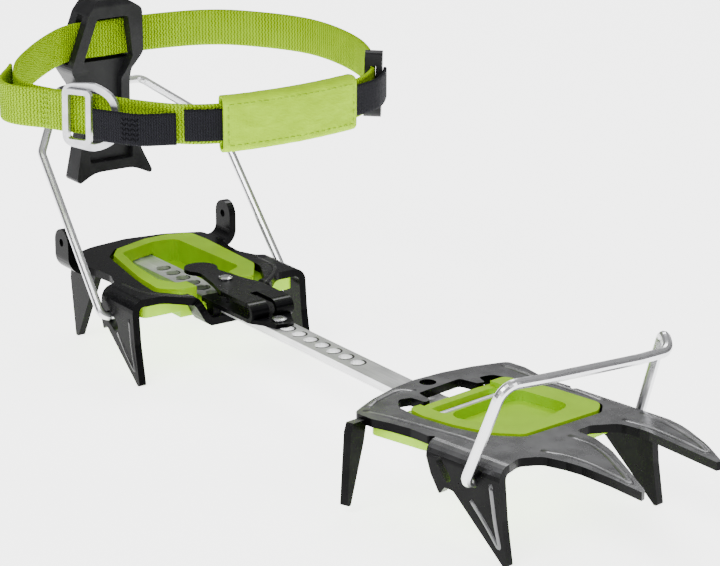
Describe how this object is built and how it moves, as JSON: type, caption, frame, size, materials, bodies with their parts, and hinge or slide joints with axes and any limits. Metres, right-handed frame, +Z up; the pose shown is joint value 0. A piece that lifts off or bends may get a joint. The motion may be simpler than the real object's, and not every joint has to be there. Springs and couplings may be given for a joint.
{
  "type": "mountaineering crampon",
  "caption": "Steel boot crampon: toothed heel and toe plates joined by a slotted bar, wire toe bail, heel lever and ankle strap.",
  "frame": {"origin": "centre of the bounding box in plan, at the height of the tooth tips", "axes": "+X from heel to toe along the linking bar, +Y to the side the front unit is toed towards, +Z up from the tooth tips to the boot side"},
  "size_m": [0.3524, 0.1568, 0.131],
  "materials": {
    "black_steel": "black baked coating, semi-gloss",
    "grey_steel": "dark grey coating, semi-gloss",
    "bright_steel": "bright, lightly brushed",
    "polished_wire": "polished stainless wire",
    "lime_plastic": "smooth flexible plastic, satin gloss",
    "black_plastic": "fine moulded texture",
    "lime_webbing": "woven polyester webbing",
    "black_webbing": "ribbed woven webbing",
    "satin_aluminium": "satin"
  },
  "bodies": {
    "bar": {"linking_bar": "bright_steel"},
    "heel": {"heel_plate": "black_steel", "heel_antibott": "lime_plastic", "latch_spring": "black_steel", "spring_rivet": "bright_steel"},
    "latch": {"latch_arm": "black_steel", "latch_pin": "bright_steel"},
    "heel_bail": {"heel_bail": "polished_wire"},
    "lever": {"heel_lever": "black_plastic", "ankle_strap": "lime_webbing", "buckle_strap": "lime_webbing", "buckle_ring_d": "satin_aluminium", "buckle_ring_square": "satin_aluminium", "tail_tab": "black_webbing", "slider_strap": "black_webbing", "strap_sleeve": "lime_webbing", "strap_slider": "black_plastic"},
    "front": {"front_plate": "grey_steel", "front_antibott": "lime_plastic"},
    "toe_bail": {"toe_bail": "polished_wire"}
  },
  "joints": [
    {"name": "heel_adjust", "type": "slide", "parent": "bar", "child": "heel", "axis": [1, 0, 0], "range_m": [-0.0616, 0.0462]},
    {"name": "latch_lift", "type": "hinge", "parent": "heel", "child": "latch", "pos_m": [-0.04351, -0.00123, 0.0354], "axis": [0, 1, 0], "range_deg": [0, 15], "stiffness_Nm_per_rad": 0.5, "springref_deg": -8.59},
    {"name": "heel_bail_swing", "type": "hinge", "parent": "heel", "child": "heel_bail", "pos_m": [-0.09566, -0.00123, 0.0225], "axis": [0, 1, 0], "range_deg": [-25, 20]},
    {"name": "heel_lever_flip", "type": "hinge", "parent": "heel_bail", "child": "lever", "pos_m": [-0.16966, -0.00123, 0.095], "axis": [0, 1, 0], "range_deg": [-75, 4]},
    {"name": "front_pivot", "type": "hinge", "parent": "bar", "child": "front", "pos_m": [0.0742, 0.00059, 0.0267], "axis": [-0.1513, 0.9885, 0], "range_deg": [-4, 4]},
    {"name": "toe_bail_swing", "type": "hinge", "parent": "front", "child": "toe_bail", "pos_m": [0.11819, 0.00732, 0.025], "axis": [-0.1513, 0.9885, 0], "range_deg": [-95, 30]}
  ]
}
